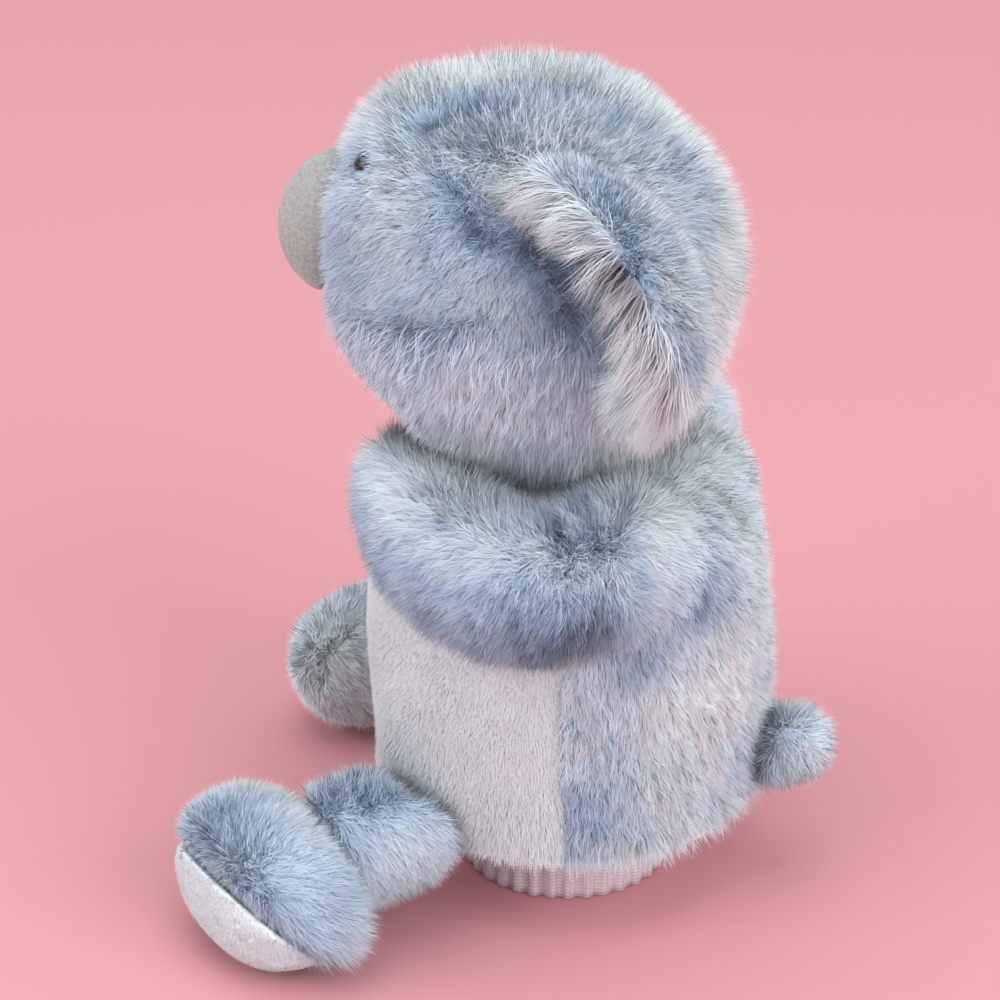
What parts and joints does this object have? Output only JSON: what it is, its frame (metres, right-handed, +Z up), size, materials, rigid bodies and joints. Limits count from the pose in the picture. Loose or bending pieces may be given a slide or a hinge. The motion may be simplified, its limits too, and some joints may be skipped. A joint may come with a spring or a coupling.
{
  "type": "plush hand puppet",
  "caption": "Seated plush koala hand puppet: hollow glove body with wrist cuff and finger stall, stuffed head, cupped ears, arms, legs and tail that flex at their seams.",
  "frame": {"origin": "on the floor, under the middle of the toy's bounding box", "axes": "+Z up, the animal faces -Y, its left side is +X"},
  "size_m": [0.2206, 0.1968, 0.2598],
  "materials": {
    "blue_plush": "long pile, frosted blue-grey",
    "mottled_plush": "long pile, mottled white and blue-grey",
    "white_plush": "short smooth pile",
    "ear_plush": "very long white pile",
    "nose_flock": "flocked velour",
    "lining": "plain woven lining",
    "wadding": "polyester fibre",
    "eye_bead": "polished black",
    "washer": "moulded"
  },
  "bodies": {
    "torso": {"belly_panel": "white_plush", "back_panel": "mottled_plush", "glove_lining": "lining", "wrist_cuff": "lining", "hem_binding": "white_plush"},
    "neck": {"neck_sleeve": "lining"},
    "head": {"head_cover": "blue_plush", "head_filling": "wadding", "finger_stall": "lining", "nose_cover": "nose_flock", "nose_filling": "wadding", "left_eye": "eye_bead", "right_eye": "eye_bead", "left_eye_washer": "washer", "right_eye_washer": "washer"},
    "tail": {"tail_cover": "blue_plush", "tail_filling": "wadding"},
    "left_ear": {"left_ear_back": "blue_plush", "left_ear_front": "ear_plush"},
    "left_arm": {"left_arm_cover": "blue_plush", "left_arm_filling": "wadding"},
    "left_leg": {"left_leg_cover": "blue_plush", "left_leg_filling": "wadding", "left_foot_upper": "blue_plush", "left_foot_sole": "white_plush", "left_foot_filling": "wadding"},
    "right_ear": {"right_ear_back": "blue_plush", "right_ear_front": "ear_plush"},
    "right_arm": {"right_arm_cover": "blue_plush", "right_arm_filling": "wadding"},
    "right_leg": {"right_leg_cover": "blue_plush", "right_leg_filling": "wadding", "right_foot_upper": "blue_plush", "right_foot_sole": "white_plush", "right_foot_filling": "wadding"}
  },
  "joints": [
    {"name": "neck_turn", "type": "hinge", "parent": "torso", "child": "neck", "pos_m": [0, 0.01917, 0.149], "axis": [0, 0, 1], "range_deg": [-34, 16], "stiffness_Nm_per_rad": 0.15},
    {"name": "head_nod", "type": "hinge", "parent": "neck", "child": "head", "pos_m": [0, 0.01917, 0.149], "axis": [0.9877, 0.1564, 0], "range_deg": [-12, 6], "stiffness_Nm_per_rad": 0.4},
    {"name": "left_ear_flop", "type": "hinge", "parent": "head", "child": "left_ear", "pos_m": [0.05663, 0.02973, 0.21647], "axis": [0, 0, -1], "range_deg": [-10, 20], "stiffness_Nm_per_rad": 0.03},
    {"name": "right_ear_flop", "type": "hinge", "parent": "head", "child": "right_ear", "pos_m": [-0.05895, 0.00998, 0.20631], "axis": [0, 0, 1], "range_deg": [-10, 20], "stiffness_Nm_per_rad": 0.03},
    {"name": "left_arm_open", "type": "hinge", "parent": "torso", "child": "left_arm", "pos_m": [0.0475, 0.06017, 0.13], "axis": [0, 0, 1], "range_deg": [0, 55], "stiffness_Nm_per_rad": 0.06},
    {"name": "right_arm_open", "type": "hinge", "parent": "torso", "child": "right_arm", "pos_m": [-0.0475, 0.06017, 0.13], "axis": [0, 0, -1], "range_deg": [0, 55], "stiffness_Nm_per_rad": 0.06},
    {"name": "left_leg_raise", "type": "hinge", "parent": "torso", "child": "left_leg", "pos_m": [0.05405, -0.02656, 0.035], "axis": [-0.7193, -0.6947, 0], "range_deg": [-30, 35], "stiffness_Nm_per_rad": 0.12},
    {"name": "right_leg_raise", "type": "hinge", "parent": "torso", "child": "right_leg", "pos_m": [-0.05405, -0.02656, 0.035], "axis": [-0.7193, 0.6947, 0], "range_deg": [-30, 35], "stiffness_Nm_per_rad": 0.12},
    {"name": "tail_wag", "type": "hinge", "parent": "torso", "child": "tail", "pos_m": [0, 0.07274, 0.043], "axis": [0, 0, 1], "range_deg": [-20, 20], "stiffness_Nm_per_rad": 0.03}
  ]
}
